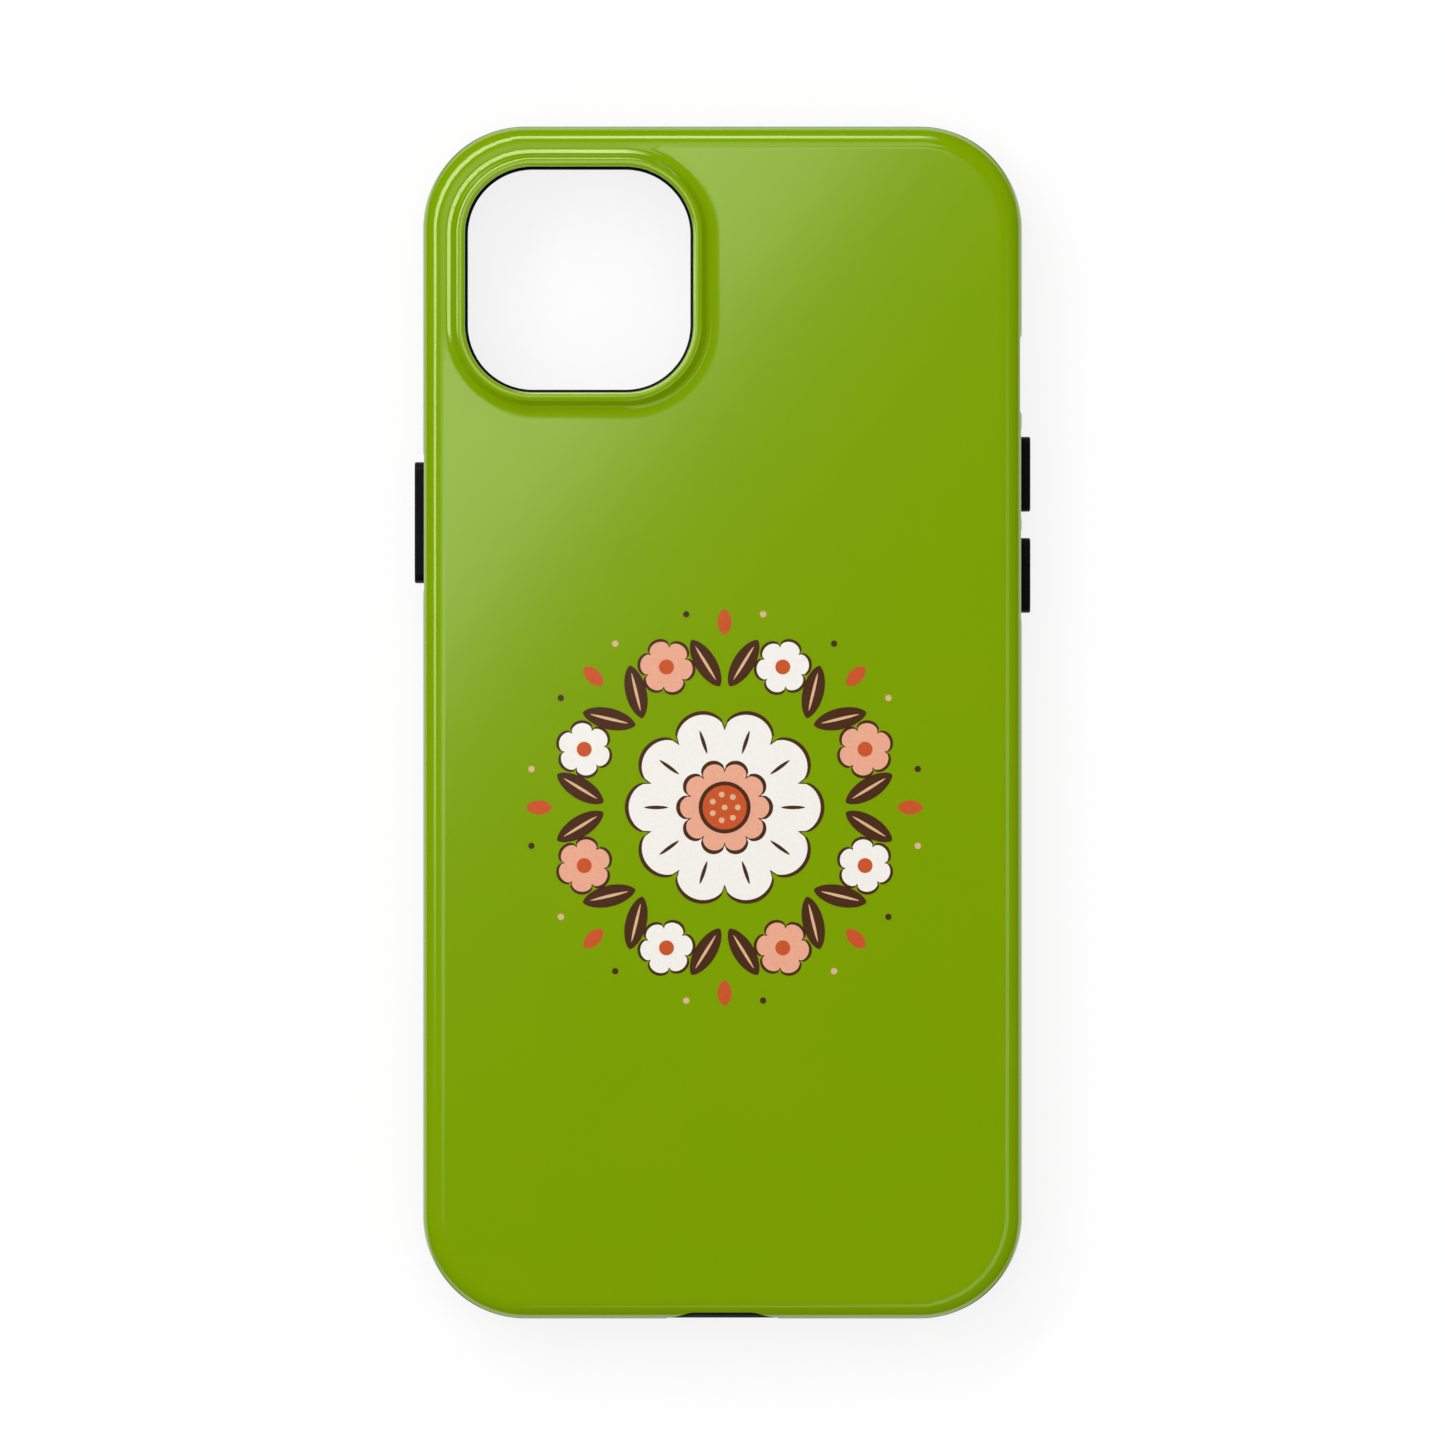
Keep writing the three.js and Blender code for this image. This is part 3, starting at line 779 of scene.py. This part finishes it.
def outer_shell():
    shell = swept("shell", shell_levels())
    cutters = [port_block(0, case.half_y - SHELL_WALL - SHELL_ROUND, case.half_y + OVERRUN)]
    for wall, along, length in KEYS.values():
        hole = key_outline(length).grown(KEY_WINDOW_GAP)
        cutters.append(opening(wall, along, hole, KEY_RELIEF_DEPTH, SHELL_WALL))
    hole = slot_outline(SWITCH_SHELL_LENGTH, SWITCH_SHELL_HEIGHT)
    cutters.append(opening("right", SWITCH_ALONG, hole, SWITCH_RELIEF_DEPTH, SHELL_WALL))
    hole = slot_outline(SOUND_LENGTH, SOUND_HEIGHT).grown(SOUND_SHELL_MARGIN)
    cutters += [opening("bottom", side * SOUND_FROM_MIDDLE, hole, 0, SHELL_WALL) for side in (-1, 1)]
    combine(shell, "DIFFERENCE", cutters)
    return shell


def inner_liner():
    liner = swept("liner", liner_levels())
    combine(liner, "UNION", [port_boss()])
    flange_inner = case.half_x - SHELL_WALL - KEY_REST_GAP - FLANGE_THICKNESS
    cutters = [cushion_grooves()]
    for wall, along, length in KEYS.values():
        head = key_outline(length)
        pocket = head.grown(FLANGE_MARGIN + POCKET_GAP)
        levels = [(0, flange_inner - WEB_THICKNESS), (0, case.half_x + OVERRUN)]
        cutters.append(drawn_up("pocket", pocket, levels, in_wall(wall, along)))
        cutters.append(opening(wall, along, head.grown(FOOT_GAP - FOOT_MARGIN), LINER_OUTER, LINER_WALL))
    hole = slot_outline(SWITCH_LINER_LENGTH, SWITCH_LINER_HEIGHT)
    cutters.append(opening("right", SWITCH_ALONG, hole, LINER_OUTER, LINER_WALL))
    hole = slot_outline(PORT_HOLE_WIDTH, PORT_HOLE_HEIGHT)
    cutters.append(opening("bottom", 0, hole, PORT_BOSS_INSET, POCKET_SIDE))
    hole = slot_outline(SOUND_LENGTH, SOUND_HEIGHT)
    cutters += [
        opening("bottom", side * SOUND_FROM_MIDDLE, hole, LINER_OUTER, LINER_WALL) for side in (-1, 1)
    ]
    combine(liner, "DIFFERENCE", cutters)
    return liner


def key(name, wall, along, length):
    """A foot towards the phone's own key, a flange behind the shell, and a head out through it."""
    flange_outer = case.half_x - SHELL_WALL - KEY_REST_GAP
    flange_inner = flange_outer - FLANGE_THICKNESS
    levels = [
        (-FOOT_MARGIN, case.half_x - POCKET_SIDE + FOOT_SHORT),
        (-FOOT_MARGIN, flange_inner),
        (FLANGE_MARGIN, flange_inner),
        (FLANGE_MARGIN, flange_outer),
        (0, flange_outer),
        (0, key_high.x - KEY_EDGE - SUPPORT),
    ]
    for turn in quarter(SMALL_STEPS):
        levels.append((-KEY_EDGE * (1 - math.cos(turn)), key_high.x - KEY_EDGE * (1 - math.sin(turn))))
    levels.append((-KEY_EDGE - SUPPORT, key_high.x))
    return drawn_up(name, key_outline(length), levels, in_wall(wall, along))


def key_web(name, wall, along, length):
    """The flat ring of soft material that carries a key."""
    outer = case.half_x - SHELL_WALL - KEY_REST_GAP - FLANGE_THICKNESS
    inner = outer - WEB_THICKNESS
    rim = FLANGE_MARGIN - WEB_EDGE_GAP
    hole = FOOT_GAP - FOOT_MARGIN
    levels = [(rim, inner), (rim, outer), (hole, outer), (hole, inner), (rim, inner)]
    return drawn_up(name, key_outline(length), levels, in_wall(wall, along), hollow=True)


def shade(piece):
    """Shading that is smooth but for sharp corners, and true on the large flat faces."""
    piece.data.shade_smooth()
    piece.data.set_sharp_from_angle(angle=SHARP_FROM)
    even = piece.modifiers.new("even shading", "WEIGHTED_NORMAL")
    even.keep_sharp = True


def petalled(radius, petals, notch_share):
    """A flower's outline: the notches between its petals are a share of its radius deep."""

    def form(turn):
        fullness = abs(math.cos(petals * turn / 2)) ** PETAL_FULLNESS_SHARE
        reach = radius * (1 - notch_share * (1 - fullness))
        return Vector((reach * math.cos(turn), reach * math.sin(turn)))

    return form


def leaf(length, width):
    """A pointed leaf along X, fuller near its middle."""

    def form(turn):
        across = math.sin(turn) * abs(math.sin(turn)) ** LEAF_POINT_SHARE
        return Vector((length / 2 * math.cos(turn), width / 2 * across))

    return form


def spot(radius):
    return lambda turn: Vector((radius * math.cos(turn), radius * math.sin(turn)))


def medallion():
    """The print: a big flower in a ring of sprigs. Each item is an ink, a form and where it lies."""
    items = []

    def stamp(ink, layer, form, out=0, turn=0, tilt=0, steps=LEAF_POINTS):
        items.append((ink, layer, form, out, turn, tilt, steps))

    def blossom(inks, radius, petals, notch_share, line, layer, out=0, turn=0):
        steps = petals * PETAL_POINTS
        line_ink, petal_ink = inks
        stamp(line_ink, layer, petalled(radius, petals, notch_share), out, turn, 0, steps)
        inside = petalled(radius - line, petals, notch_share)
        stamp(petal_ink, layer + 1, inside, out, turn, 0, steps)

    blossom(("brown", "cream"), BIG_RADIUS, BIG_PETALS, BIG_NOTCH_SHARE, PRINT_LINE, 0)
    for number in range(BIG_PETALS):
        turn = 2 * math.pi * number / BIG_PETALS
        stamp("brown", 2, leaf(VEIN_LENGTH, VEIN_WIDTH), VEIN_OUT, turn)
    blossom(("brown", "peach"), HEART_RADIUS, BIG_PETALS, HEART_NOTCH_SHARE, PRINT_LINE, 2)
    stamp("brown", 4, spot(EYE_RADIUS + PRINT_LINE))
    stamp("terracotta", 5, spot(EYE_RADIUS))
    stamp("tan", 6, spot(SEED_RADIUS))
    for number in range(SEEDS):
        stamp("tan", 6, spot(SEED_RADIUS), SEED_RING, 2 * math.pi * number / SEEDS)
    small = (SMALL_RADIUS, SMALL_PETALS, SMALL_NOTCH_SHARE, FINE_LINE)
    for number in range(SPRIGS):
        turn = 2 * math.pi * (number + 0.5) / SPRIGS
        petal_ink = ("peach", "cream")[number % 2]
        blossom(("brown", petal_ink), *small, 0, SPRIG_RING, turn)
        stamp("terracotta", 2, spot(SMALL_EYE), SPRIG_RING, turn)
        turn = 2 * math.pi * number / SPRIGS
        for side in (-1, 1):
            aside = turn + side * LEAF_ASIDE
            stamp("brown", 0, leaf(LEAF_LENGTH, LEAF_WIDTH), LEAF_RING, aside, side * LEAF_TILT)
            stamp("tan", 1, leaf(LEAF_LENGTH * RIB_SHARE, RIB_WIDTH), LEAF_RING, aside, side * LEAF_TILT)
        stamp("terracotta", 0, leaf(BUD_LENGTH, BUD_WIDTH), BUD_RING, turn)
    for number in range(DOTS):
        turn = 2 * math.pi * (number + 0.5) / DOTS
        stamp(("brown", "tan")[number % 2], 0, spot(DOT_RADIUS), DOT_RING, turn)
    return items


def ink_layer(ink, items):
    """All that is printed in one ink: closed plates as thick as the ink lies."""
    bm = bmesh.new()
    for name, layer, form, out, turn, tilt, steps in items:
        if name != ink:
            continue
        made = bmesh.ops.create_circle(bm, cap_ends=True, segments=steps, radius=1)["verts"]
        for vert in made:
            vert.co = form(math.atan2(vert.co.y, vert.co.x)).to_3d()
        placing = Matrix.Translation((PRINT_X, PRINT_Y, BACK + layer * INK_THICKNESS))
        placing @= Matrix.Rotation(turn, 4, "Z") @ Matrix.Translation((out, 0, 0))
        placing @= Matrix.Rotation(tilt, 4, "Z")
        bmesh.ops.transform(bm, matrix=placing, verts=made)
        edges = list({edge for vert in made for edge in vert.link_edges})
        top = draw_out(bm, edges, lambda vert: vert.co + Vector((0, 0, INK_THICKNESS)))
        bmesh.ops.contextual_create(bm, geom=top)
    return finished("print_" + ink, bm)


def linear(code):
    """A linear colour from an sRGB hex value."""
    parts = [int(code[place : place + 2], 16) / 255 for place in (1, 3, 5)]
    return [part / 12.92 if part <= 0.04045 else ((part + 0.055) / 1.055) ** 2.4 for part in parts] + [1]


def add(tree, kind, values=None, links=None, **settings):
    """Adds a node with its settings, its own values and what feeds it."""
    node = tree.nodes.new(kind)
    for name, value in settings.items():
        setattr(node, name, value)
    for name, value in (values or {}).items():
        node.inputs[name].default_value = value
    for name, source in (links or {}).items():
        tree.links.new(source, node.inputs[name])
    return node


def new_material(name):
    material = bpy.data.materials.new(name)
    material.use_nodes = True
    material.node_tree.nodes.clear()
    place = add(material.node_tree, "ShaderNodeTexCoord").outputs["Object"]
    return material, material.node_tree, place


def noise(tree, place, size, detail=2):
    """Soft noise whose blotches are about that long."""
    values = {"Scale": 1 / size, "Detail": detail, "Roughness": NOISE_ROUGHNESS}
    return add(tree, "ShaderNodeTexNoise", values, {"Vector": place}).outputs["Fac"]


def spread(tree, source, low, high):
    """Maps noise to values between two others."""
    values = {"From Min": NOISE_LOW, "From Max": NOISE_HIGH, "To Min": low, "To Max": high}
    return add(tree, "ShaderNodeMapRange", values, {"Value": source}).outputs["Result"]


def between(tree, source, low, high):
    """Mixes two sRGB colours by noise."""
    mixed = add(tree, "ShaderNodeMix", links={"Factor": spread(tree, source, 0, 1)}, data_type="RGBA")
    mixed.inputs["A"].default_value = linear(low)
    mixed.inputs["B"].default_value = linear(high)
    return mixed.outputs["Result"]


def surface(tree, colour, roughness, height, values):
    """The shader that a finish ends in, with a height in metres for its bump."""
    bump = add(tree, "ShaderNodeBump", {"Strength": 1, "Distance": 1}, {"Height": height})
    links = {"Base Color": colour, "Roughness": roughness, "Normal": bump.outputs["Normal"]}
    shader = add(tree, "ShaderNodeBsdfPrincipled", values, links)
    add(tree, "ShaderNodeOutputMaterial", links={"Surface": shader.outputs["BSDF"]})


def gloss_moulded_polycarbonate():
    """Opaque lime polycarbonate, moulded glossy and sprayed with a clear hard coat.

    The eye gets a sharp mirror gloss over one even colour, barely wavy where the plastic shrank."""
    material, tree, place = new_material("gloss_moulded_polycarbonate")
    colour = between(tree, noise(tree, place, size=14 * MM), "#7A9E00", "#7C9F00")
    roughness = spread(tree, noise(tree, place, size=5 * MM, detail=4), low=0.08, high=0.1)
    height = spread(tree, noise(tree, place, size=3.5 * MM), low=0, high=0.0006 * MM)
    surface(tree, colour, roughness, height, {"Specular Tint": linear(LIME_GLINT), **CLEAR_COAT})
    return material


def cured_ink(name, low, high):
    """Ink sprayed on the shell in fine drops and cured, under the same clear hard coat.

    The eye gets flat colour with the shell's own gloss, and close up the faint mottle of the drops.
    The real drops are about 0.05 mm, too fine to show, so they are drawn several times coarser."""
    material, tree, place = new_material("cured_ink_" + name)
    colour = between(tree, noise(tree, place, size=0.35 * MM, detail=3), low, high)
    roughness = spread(tree, noise(tree, place, size=5 * MM, detail=4), low=0.08, high=0.1)
    height = spread(tree, noise(tree, place, size=3.5 * MM), low=0, high=0.0006 * MM)
    surface(tree, colour, roughness, height, CLEAR_COAT)
    return material


def spark_textured_tpu():
    """Black TPU from a spark-eroded mould: a fine even grit that swallows nearly all of its sheen.

    The real grit is about 0.05 mm, too fine to show, so it is drawn several times coarser."""
    material, tree, place = new_material("spark_textured_tpu")
    colour = between(tree, noise(tree, place, size=6 * MM), "#060606", "#0A0A0A")
    roughness = spread(tree, noise(tree, place, size=2 * MM, detail=4), low=0.55, high=0.66)
    height = spread(tree, noise(tree, place, size=0.22 * MM, detail=3), low=0, high=0.012 * MM)
    surface(tree, colour, roughness, height, RUBBER_SHEEN)
    return material


def satin_moulded_tpu():
    """Black TPU from a finely blasted mould, for the keys: satin, with a faint wide highlight.

    The real grit is about 0.03 mm, too fine to show, so it is drawn ten times coarser."""
    material, tree, place = new_material("satin_moulded_tpu")
    colour = between(tree, noise(tree, place, size=4 * MM), "#060606", "#080808")
    roughness = spread(tree, noise(tree, place, size=1.5 * MM, detail=4), low=0.46, high=0.54)
    height = spread(tree, noise(tree, place, size=0.3 * MM, detail=3), low=0, high=0.004 * MM)
    surface(tree, colour, roughness, height, RUBBER_SHEEN)
    return material


def studio_paper():
    """Matt white backdrop paper. It shows the object's shadow, and reads white where there is none.

    The gloss mirrors a dark band of it close to each end. It is painted shade, seen only in reflections,
    which draws a thin painted dark reflection round the ends."""
    material, tree, place = new_material("studio_paper")
    along = add(tree, "ShaderNodeSeparateXYZ", links={"Vector": place}).outputs["Y"]
    from_middle = add(tree, "ShaderNodeMath", links={0: along}, operation="ABSOLUTE").outputs["Value"]
    # Painted shade: past each end of the case the paper's glow is taken out of reflections, which paints a
    # dark reflection on the case's outermost edge there.
    band = {1: case.half_y + PAINTED_SHADE_BAND_PAST_END, 2: PAINTED_SHADE_BAND_HALF}
    dark = add(tree, "ShaderNodeMath", band, {0: from_middle}, operation="COMPARE").outputs["Value"]
    seen = add(tree, "ShaderNodeLightPath").outputs
    links = {0: seen["Is Glossy Ray"], 1: dark}
    mirrored = add(tree, "ShaderNodeMath", links=links, operation="SUBTRACT").outputs["Value"]
    links = {0: seen["Is Camera Ray"], 1: mirrored}
    looked_at = add(tree, "ShaderNodeMath", links=links, operation="MAXIMUM").outputs["Value"]
    share = add(tree, "ShaderNodeMath", {1: PAPER_GLOW}, {0: looked_at}, operation="MULTIPLY")
    paper = add(tree, "ShaderNodeBsdfDiffuse", {"Color": linear(PAPER_COLOUR)})
    glow = add(tree, "ShaderNodeEmission", links={"Strength": share.outputs["Value"]})
    both = add(tree, "ShaderNodeAddShader", links={0: paper.outputs["BSDF"], 1: glow.outputs["Emission"]})
    add(tree, "ShaderNodeOutputMaterial", links={"Surface": both.outputs["Shader"]})
    return material


def floor():
    """A sheet of paper, past which the picture is as white. It lies just clear of the case's rim."""
    bm = bmesh.new()
    bmesh.ops.create_grid(bm, x_segments=1, y_segments=1, size=1)
    bmesh.ops.scale(bm, vec=(PAPER_HALF_X, PAPER_HALF_Y, 1), verts=bm.verts)
    bmesh.ops.translate(bm, vec=(0, 0, -PAPER_LOW), verts=bm.verts)
    piece = finished("floor", bm)
    piece.data.materials.append(studio_paper())


def studio_world():
    """White for the camera, dark in reflections, and an even soft light for all the rest."""
    world = bpy.data.worlds.new("studio")
    world.use_nodes = True
    tree = world.node_tree
    tree.nodes.clear()
    seen = add(tree, "ShaderNodeLightPath").outputs
    values = {"A": AMBIENT, "B": DARKNESS}
    mirrored = add(tree, "ShaderNodeMix", values, {"Factor": seen["Is Glossy Ray"]}).outputs["Result"]
    links = {"Factor": seen["Is Camera Ray"], "A": mirrored}
    strength = add(tree, "ShaderNodeMix", {"B": 1}, links)
    light = add(tree, "ShaderNodeBackground", {"Color": WHITE}, {"Strength": strength.outputs["Result"]})
    add(tree, "ShaderNodeOutputWorld", links={"Surface": light.outputs["Background"]})
    bpy.context.scene.world = world


def fading(tree, fades, spans):
    """The share of its light that each spot of a softbox gives, after one fade and then the next."""
    spot_on_it = add(tree, "ShaderNodeNewGeometry").outputs["Parametric"]
    sides = add(tree, "ShaderNodeSeparateXYZ", links={"Vector": spot_on_it}).outputs
    share = add(tree, "ShaderNodeValue").outputs["Value"]
    share.default_value = 1
    for side, full_at, dark_at in fades:
        start, size = spans[side]
        values = {"From Min": (full_at - start) / size, "From Max": (dark_at - start) / size, "To Max": 0}
        faded = add(tree, "ShaderNodeMapRange", values, {"Value": sides[side], "To Min": share})
        share = faded.outputs["Result"]
    return share


def lamp(name, azimuth, tilt, distance, ends, width, radiance, fades=(), facing=(0, 0, 0)):
    """A softbox that faces a point at the case."""
    start, end = ends
    length = end - start
    light = bpy.data.lights.new(name, "AREA")
    light.shape = "RECTANGLE"
    light.size = length
    light.size_y = width
    light.energy = radiance * math.pi * width * length
    light.use_nodes = True
    tree = light.node_tree
    tree.nodes.clear()
    strength = fading(tree, fades, {"X": (start, length), "Y": (-width / 2, width)})
    emitted = add(tree, "ShaderNodeEmission", links={"Strength": strength}).outputs["Emission"]
    add(tree, "ShaderNodeOutputLight", links={"Surface": emitted})
    level = Vector((math.cos(azimuth), math.sin(azimuth), 0))
    towards = level * math.sin(tilt) + Vector((0, 0, math.cos(tilt)))
    softbox = bpy.data.objects.new(name, light)
    turned = towards.to_track_quat("Z", "Y").to_matrix().to_4x4()
    aside = Matrix.Translation(((start + end) / 2, 0, 0))
    softbox.matrix_world = Matrix.Translation(Vector(facing) + towards * distance) @ turned @ aside
    softbox.visible_camera = False
    bpy.context.scene.collection.objects.link(softbox)


def corner_lamps(name, corner, azimuth, radiance, turn):
    """A bent row of softboxes, over the middle that a corner of the case is drawn round."""
    side, end = corner
    facing = (side * (case.half_x - CASE_CORNER), end * (case.half_y - CASE_CORNER), 0)
    for place, (degrees, width) in enumerate(turn):
        bearing = math.radians(azimuth + place * CORNER_STEP)
        tilt = math.radians(degrees)
        half = CORNER_DISTANCE * math.sin(tilt) * math.tan(math.radians(CORNER_STEP / 2))
        where = (f"{name}_{place}", bearing, tilt, CORNER_DISTANCE, (-half, half))
        lamp(*where, width, radiance, facing=facing)


def camera():
    """Straight over the back, with a long lens. The case's length fills a known part of the picture."""
    lens = bpy.data.cameras.new("camera")
    lens.lens = LENS
    lens.sensor_width = SENSOR
    lens.clip_end = CAMERA_REACH
    view_width = 2 * case.half_y * IMAGE_PX / CASE_LENGTH_PX
    over = bpy.data.objects.new("camera", lens)
    over.location = (0, 0, BACK - EDGE_DROP + view_width * LENS / SENSOR)
    bpy.context.scene.collection.objects.link(over)
    bpy.context.scene.camera = over


def dress(piece, material, slot, body, *nodes):
    """Gives a piece its finish and its place in the frame."""
    piece.data.materials.clear()
    piece.data.materials.append(material)
    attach(piece, body)
    if nodes:
        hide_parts(*nodes)


camera()
floor()
studio_world()
for name, azimuth, tilt, *rest in SOFTBOXES:
    lamp(name, math.radians(azimuth), math.radians(tilt), *rest)
for row in CORNER_SOFTBOXES:
    corner_lamps(*row)

shell = outer_shell()
shade(shell)
dress(shell, gloss_moulded_polycarbonate(), "shell_plastic", "case", "outer_shell")

liner = inner_liner()
shade(liner)
dress(liner, spark_textured_tpu(), "liner_rubber", "case", "inner_liner")

satin = satin_moulded_tpu()
for name, (wall, along, length) in KEYS.items():
    cap = key(name + "_cap", wall, along, length)
    shade(cap)
    dress(cap, satin, "key_rubber", name, name + "_key")
    web = key_web(name + "_web", wall, along, length)
    shade(web)
    dress(web, satin, "key_rubber", "case", name + "_key_web")
    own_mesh(web)

printed = medallion()
for ink, (low, high) in INKS.items():
    dress(ink_layer(ink, printed), cured_ink(ink, low, high), "shell_plastic", "case")

bpy.context.scene.view_settings.view_transform = "Standard"
